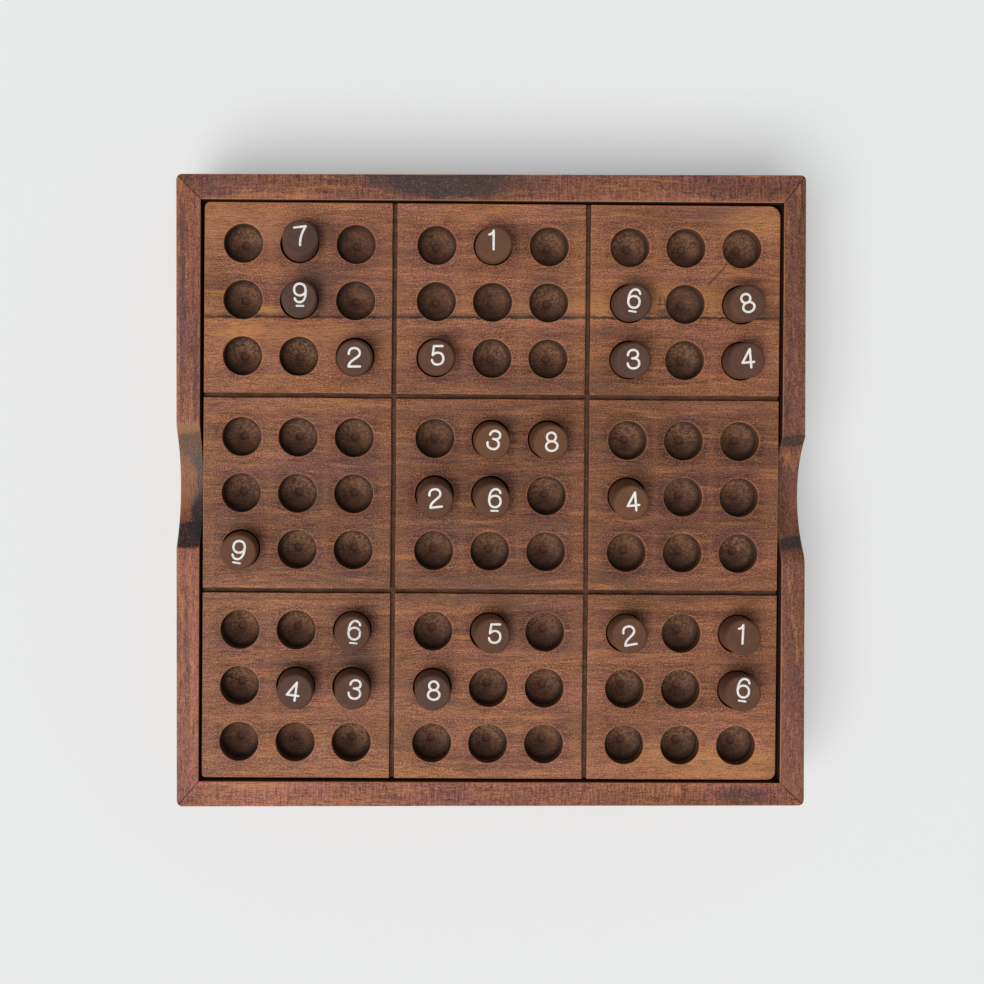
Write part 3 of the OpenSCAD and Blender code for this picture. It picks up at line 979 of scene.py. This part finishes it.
def peg_mesh(segments, seed):
    """Vertices, faces, point attributes and wood coordinates of one upright peg on z = 0."""
    r = np.random.default_rng(seed)
    angles = np.arange(segments) * (2 * math.pi / segments)
    oval = 1 - 0.004 * (1 + np.sin(2 * angles + r.uniform(0, 6)))
    form = peg_form()
    rings = [(rad, PEG_LEN - low, wear) for rad, low, wear in form]
    rings += [(PEG_R, PEG_LEN / 2, 0.0)]
    rings += [(rad, low, wear) for rad, low, wear in reversed(form)]
    verts, edge, side = [(0.0, 0.0, PEG_LEN)], [0.0], [0.0]
    for k, (rad, z, wear) in enumerate(rings):
        dent = 0.03 * wave(angles / (2 * math.pi), seed + k // 6, 5, 2.0) if wear else 0.0
        size = (rad + np.minimum(dent, 0.0)) * oval
        verts += [(float(s * math.cos(a)), float(s * math.sin(a)), z)
                  for s, a in zip(size, angles)]
        edge += [wear] * segments
        # marks the sides for the painted light
        side += [1.0 if rad > PEG_R - 0.1 else 0.0] * segments
    verts.append((0.0, 0.0, 0.0))
    edge.append(0.0)
    side.append(0.0)
    firsts = [1 + k * segments for k in range(len(rings))]
    faces = [f[::-1] for f in ring_faces(firsts, segments)]
    for i in range(segments):
        j = (i + 1) % segments
        faces.append((0, 1 + i, 1 + j))
        faces.append((len(verts) - 1, firsts[-1] + j, firsts[-1] + i))
    verts = np.array(verts)
    local = verts + r.uniform(-300, 300, 3)  # every peg is cut from its own piece of dowel
    return verts, faces, {"edge": edge, "side": side}, local


def curve(*points):
    """Points along a cubic curve with two handles."""
    p0, p1, p2, p3 = (np.array(p, float) for p in points)
    t = np.linspace(0, 1, 13)[:, None]
    return ((1 - t) ** 3 * p0 + 3 * (1 - t) ** 2 * t * p1 + 3 * (1 - t) * t ** 2 * p2
            + t ** 3 * p3)


def chain(start, *steps):
    """Curves joined end to end; each step gives two handles and an end."""
    pieces = []
    for step in steps:
        piece = curve(start, step[:2], step[2:4], step[4:])
        pieces.append(piece[1:] if pieces else piece)
        start = step[4:]
    return np.vstack(pieces)


def straight_line(a, b):
    t = np.linspace(0, 1, 9)[:, None]
    return np.array(a, float) * (1 - t) + np.array(b, float) * t


def loop_of(x, y, rx, ry):
    t = np.linspace(0, 2 * math.pi, 41)[:-1]
    return np.stack([x + rx * np.cos(t), y + ry * np.sin(t)], 1)


TALL, WIDE = 3.14, 2.09  # half height and half width of a figure, to the middle of its strokes
FIGURE_SCALE = (0.92, 0.96)
STROKE, UNDERLINE_STROKE = 0.74, 0.62
PAINT_LIFT, PAINT_STEP = 0.05, 0.008  # height of the paint, and how much each stroke adds
SIX = chain((1.85, 1.85), (1.55, 2.75, 0.95, TALL, 0.15, TALL), (-1.25, TALL, -2.05, 1.75, -2.05, -0.45),
            (-2.05, -2.2, -1.3, -TALL, 0.05, -TALL), (1.3, -TALL, 2.05, -2.3, 2.05, -1.15),
            (2.05, 0.05, 1.25, 0.85, 0.1, 0.85), (-1.1, 0.85, -1.95, 0.15, -2.0, -0.8))
UNDERLINE = straight_line((-1.2, -4.4), (1.2, -4.4))
# The strokes of each number, around the middle of its figure; True where a stroke is a loop
DIGITS = {
    1: [(straight_line((0.55, TALL), (0.55, -TALL)), False),
        (curve((0.55, TALL), (0.35, 2.5), (-0.25, 1.95), (-1.0, 1.85)), False)],
    2: [(chain((-1.95, 1.15), (-1.95, 2.45, -1.2, TALL, 0.03, TALL), (1.25, TALL, 1.98, 2.4, 1.98, 1.4),
               (1.98, -0.35, -1.85, -0.75, -2.05, -TALL)), False),
        (straight_line((-2.05, -TALL), (2.05, -TALL)), False)],
    3: [(chain((-1.85, 1.45), (-1.75, 2.55, -1.1, TALL, -0.02, TALL), (1.1, TALL, 1.75, 2.5, 1.75, 1.68),
               (1.75, 0.8, 1.0, 0.3, -0.45, 0.3)), False),
        (chain((-0.1, 0.3), (1.3, 0.3, 2.05, -0.45, 2.05, -1.4), (2.05, -2.5, 1.2, -TALL, -0.03, -TALL),
               (-1.2, -TALL, -2.0, -2.45, -2.05, -1.3)), False)],
    4: [(straight_line((0.95, TALL), (0.95, -TALL)), False),
        (straight_line((0.85, 3.0), (-2.05, -1.35)), False),
        (straight_line((-2.05, -1.35), (WIDE, -1.35)), False)],
    5: [(straight_line((1.75, TALL), (-1.3, TALL)), False),
        (straight_line((-1.3, TALL), (-1.75, 0.1)), False),
        (chain((-1.75, 0.05), (-1.2, 0.65, -0.6, 0.9, 0.1, 0.9), (1.3, 0.9, 2.05, 0.05, 2.05, -1.1),
               (2.05, -2.35, 1.2, -TALL, -0.1, -TALL), (-1.2, -TALL, -1.9, -2.55, -2.0, -1.6)), False)],
    6: [(SIX, False), (UNDERLINE, False)],
    7: [(straight_line((-2.05, TALL), (WIDE, TALL)), False),
        (curve((WIDE, TALL), (0.55, 1.3), (-0.6, -0.7), (-0.8, -TALL)), False)],
    8: [(loop_of(0.0, 1.62, 1.62, 1.52), True), (loop_of(0.0, -1.47, 2.05, 1.67), True)],
    9: [(-SIX, False), (UNDERLINE, False)],
}


def stroke_mesh(points, closed, width, lift, seed):
    """A thin raised ribbon of paint along points, with round ends."""
    points = np.asarray(points, float)
    half = width / 2
    if closed:
        ahead, behind = np.roll(points, -1, 0), np.roll(points, 1, 0)
        tangent = ahead - behind
        wide = np.full(len(points), half)
    else:
        tangent = np.gradient(points, axis=0)
        turn = np.radians([90, 68, 45, 22])
        first = points[0] - np.outer(np.sin(turn), tangent[0] / np.linalg.norm(tangent[0])) * half
        last = points[-1] + np.outer(np.sin(turn[::-1]),
                                     tangent[-1] / np.linalg.norm(tangent[-1])) * half
        cap = np.maximum(np.cos(turn), 0.03) * half
        wide = np.concatenate([cap, np.full(len(points), half), cap[::-1]])
        tangent = np.vstack([np.repeat(tangent[:1], 4, 0), tangent,
                             np.repeat(tangent[-1:], 4, 0)])
        points = np.vstack([first, points, last])
    tangent /= np.linalg.norm(tangent, axis=1)[:, None]
    normal = np.stack([-tangent[:, 1], tangent[:, 0]], 1)
    uneven = 1 + 0.05 * wave(np.arange(len(points)) / 14, seed, 5, 1.0)
    wide = wide * uneven
    form = ((-1.0, 0.0), (-0.88, 0.7), (0.0, 1.0), (0.88, 0.7), (1.0, 0.0), (0.9, -0.6),
            (-0.9, -0.6))
    verts = []
    for point, side, half_width in zip(points, normal, wide):
        for across, up in form:
            x, y = point + side * across * half_width
            verts.append((float(x), float(y), up * lift))
    size = len(form)
    rings = [k * size for k in range(len(points))]
    faces = ring_faces(rings + ([0] if closed else []), size)
    if not closed:
        faces += end_faces(rings, size)
    faces = [f[::-1] for f in faces]
    return np.array(verts), faces


def number_mesh(number, turn, offset, seed):
    """A painted number in the plane of a peg's end, raised a few hundredths of a mm."""
    strokes = []
    for k, (points, closed) in enumerate(DIGITS[number]):
        underline = number in (6, 9) and k == 1
        width = UNDERLINE_STROKE if underline else STROKE
        lift = PAINT_LIFT + PAINT_STEP * k
        strokes.append(stroke_mesh(points * np.array(FIGURE_SCALE), closed, width, lift, seed + k))
    verts, faces = merged(strokes)
    c, s = math.cos(math.radians(turn)), math.sin(math.radians(turn))
    x = verts[:, 0] * c - verts[:, 1] * s + offset[0]
    y = verts[:, 0] * s + verts[:, 1] * c + offset[1]
    return np.stack([x, y, verts[:, 2]], 1), faces


def placed(verts, matrix):
    """Vertices moved by a 4 x 4 matrix in mm."""
    return verts @ np.array(matrix.to_3x3()).T + np.array(matrix.translation)


def upright_to(axis, middle):
    """The matrix that puts a peg standing on z = 0 with its middle at middle, along axis."""
    up = Vector(axis).normalized()
    right = Vector((1, 0, 0)) - up * up.x
    right.normalize()
    far = up.cross(right)
    turn = Matrix((right, far, up)).transposed().to_4x4()
    return Matrix.Translation(Vector(middle)) @ turn @ Matrix.Translation((0, 0, -PEG_LEN / 2))


GREY, BROWN, ORANGE = 0.0, 0.5, 1.0
# CAD node: the number's turn in degrees, its offset on the end face, the peg's tint and
# how worn the paint is
PLAYED = {
    "peg_7_r1c2": (8, 0.2, 0.5, GREY, 0.1), "peg_1_r1c5": (0, -0.8, 1.4, 0.8, 0.1),
    "peg_9_r2c2": (0, 0.2, 1.8, GREY, 0.2), "peg_6_r2c7": (-8, 0.1, 1.2, 0.1, 0.2),
    "peg_8_r2c9": (20, -0.3, 0.0, 0.3, 0.1), "peg_2_r3c3": (0, -0.1, 0.3, 0.35, 0.0),
    "peg_5_r3c4": (0, 0.2, 0.7, 0.45, 0.1), "peg_3_r3c7": (3, 0.0, 0.3, 0.1, 0.1),
    "peg_4_r3c9": (5, 0.1, 0.6, 0.25, 0.1), "peg_3_r4c5": (-14, 0.4, 0.7, ORANGE, 0.0),
    "peg_8_r4c6": (3, 0.1, 0.3, ORANGE, 0.2), "peg_2_r5c4": (6, -0.1, 1.0, BROWN, 0.0),
    "peg_6_r5c5": (-2, 0.7, 1.0, 0.55, 0.1), "peg_4_r5c7": (6, 0.4, 0.5, ORANGE, 0.0),
    "peg_9_r6c1": (-10, 0.1, 0.6, 0.85, 0.2), "peg_6_r7c3": (-5, 0.7, 1.1, 0.5, 0.8),
    "peg_5_r7c5": (-2, 0.6, 0.8, 0.55, 0.1), "peg_2_r7c7": (10, -0.2, 0.0, 0.9, 0.1),
    "peg_1_r7c9": (-3, -0.7, 1.1, 0.55, 0.1), "peg_4_r8c2": (-8, -0.6, 0.2, 0.3, 0.0),
    "peg_3_r8c3": (-8, 0.7, 0.8, 0.45, 0.3), "peg_8_r8c4": (0, 0.3, 0.8, 0.15, 0.2),
    "peg_6_r8c9": (-8, 0.1, 1.8, 0.6, 0.0),
}


def number_of(node):
    return int(node.split("_")[1])


def add_numbers(name, parts, body):
    """One painted piece from several (vertices, faces, wear)."""
    verts, faces = merged([(got, quads) for got, quads, _ in parts])
    wear = np.concatenate([np.full(len(got), worn) for got, _, worn in parts])
    obj = add_mesh(name, verts, faces, paint, 60.0, {"wear": wear}, {"local": verts})
    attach(obj, body)


for index, (node, (turn, off_x, off_y, tint, worn)) in enumerate(PLAYED.items()):
    low, high = node_box(node)
    matrix = upright_to(joints[node + "_pull"]["axis"], (low + high) / 2)
    verts, faces, floats, local = peg_mesh(72, 900 + index)
    floats["tint"] = [tint] * len(verts)
    peg = add_mesh(node + "_dowel", placed(verts, matrix), faces, dowel, 30.0, floats,
                   {"local": local})
    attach(peg, node)
    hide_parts(node)
    got, quads = number_mesh(number_of(node), turn, (off_x, off_y), 300 + 10 * index)
    end = matrix @ Matrix.Translation((0, 0, PEG_LEN))
    add_numbers(node.replace("peg", "number"), [(placed(got, end), quads, worn)], node)

# ---------------------------------------------------------------- spare pegs under the board

STORED_STEP = 12.4
back_inner = inner_corners("back_wall", (0, 1))
back_run = back_inner[0] - back_inner[1]
OPENING_TURN = math.atan(back_run[1] / back_run[0])
for number in range(1, 10):
    node = "stored_pegs_%d" % number
    low, high = node_box(node)
    middle = (low + high) / 2
    count = round((high[0] - low[0]) / STORED_STEP)
    run = Vector((math.cos(OPENING_TURN), math.sin(OPENING_TURN), 0.0))
    far = Vector((-run.y, run.x, 0.0))
    pegs, local, painted = [], [], []
    floats = {"edge": [], "side": [], "tint": []}
    for k in range(count):
        centre = Vector(middle) + run * (k - (count - 1) / 2) * STORED_STEP
        spin = rng.uniform(-180, 180)
        matrix = upright_to(far, centre) @ Matrix.Rotation(math.radians(spin), 4, "Z")
        got, quads, marks, own = peg_mesh(36, 2000 + 20 * number + k)
        pegs.append((placed(got, matrix), quads))
        local.append(own)
        floats["edge"] += marks["edge"]
        floats["side"] += marks["side"]
        floats["tint"] += [float(rng.uniform(0, 1))] * len(got)
        end = matrix @ Matrix.Translation((0, 0, PEG_LEN))
        got, quads = number_mesh(number, 0.0, (0.0, 0.6), 4000 + 50 * number + 5 * k)
        painted.append((placed(got, end), quads, 0.2))
    spare = add_mesh("spare_pegs_%d" % number, *merged(pegs), dowel, 30.0, floats,
                     {"local": np.vstack(local)})
    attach(spare, "tray")
    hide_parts(node)
    add_numbers("spare_numbers_%d" % number, painted, "tray")

# ---------------------------------------------------------------- floor, light and camera

FLOOR_GLOW = 0.20
n = Nodes("floor")
mottle = n.noise(n.add("TexCoord", {}).outputs["Object"], (0.8, 0.8, 0.8), detail=1.0)
shade = n.ramp(mottle, ((0.3, (0.630, 0.643, 0.652)), (0.7, (0.640, 0.653, 0.662))))
matte = n.add("BsdfDiffuse", {"Color": shade})
glow = n.add("Emission", {"Color": (1.0, 1.0, 1.0, 1.0), "Strength": FLOOR_GLOW})
both = n.add("AddShader", {0: matte.outputs[0], 1: glow.outputs[0]})
n.add("OutputMaterial", {"Surface": both.outputs[0]})
FLOOR_HALF = 2000.0
floor = add_mesh("floor", [(-FLOOR_HALF, -FLOOR_HALF, 0), (FLOOR_HALF, -FLOOR_HALF, 0),
                           (FLOOR_HALF, FLOOR_HALF, 0), (-FLOOR_HALF, FLOOR_HALF, 0)],
                 [(0, 1, 2, 3)], n.material)
floor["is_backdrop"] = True

scene = bpy.context.scene
scene.view_settings.view_transform = "Standard"
world = bpy.data.worlds.new("studio")
world.use_nodes = True
sky = world.node_tree.nodes["Background"].inputs
sky["Color"].default_value = (0.94, 0.97, 1.0, 1.0)
sky["Strength"].default_value = 0.27
scene.world = world

KEY_HEIGHT = 59.0  # degrees above the horizon
KEY_SIDE = 42.0  # degrees round from the front towards the left
KEY_SPREAD = 52.0  # degrees; a wide source gives the photo's soft shadows
key = bpy.data.lights.new("key", "SUN")
key.energy = 2.62
key.angle = math.radians(KEY_SPREAD)
key.color = (1.0, 0.985, 0.96)
key_object = bpy.data.objects.new("key", key)
key_from = Vector((-math.sin(math.radians(KEY_SIDE)) * math.cos(math.radians(KEY_HEIGHT)),
                   -math.cos(math.radians(KEY_SIDE)) * math.cos(math.radians(KEY_HEIGHT)),
                   math.sin(math.radians(KEY_HEIGHT))))
key_object.rotation_euler = (-key_from).to_track_quat("-Z", "Y").to_euler()
scene.collection.objects.link(key_object)

# the photo is a crop, so the camera's axis is off the middle of the picture
camera_data = bpy.data.cameras.new("camera")
camera_data.lens = 43.54
camera_data.sensor_width = 36.0
camera_data.shift_x = 0.0818
camera_data.shift_y = -0.0771
camera_data.clip_start = 0.01
camera = bpy.data.objects.new("camera", camera_data)
camera.location = (-0.0295, 0.0285, 0.4317)
camera.rotation_euler = (math.radians(-0.5101), math.radians(-0.4065), math.radians(0.0547))
scene.collection.objects.link(camera)
scene.camera = camera

low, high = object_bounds()
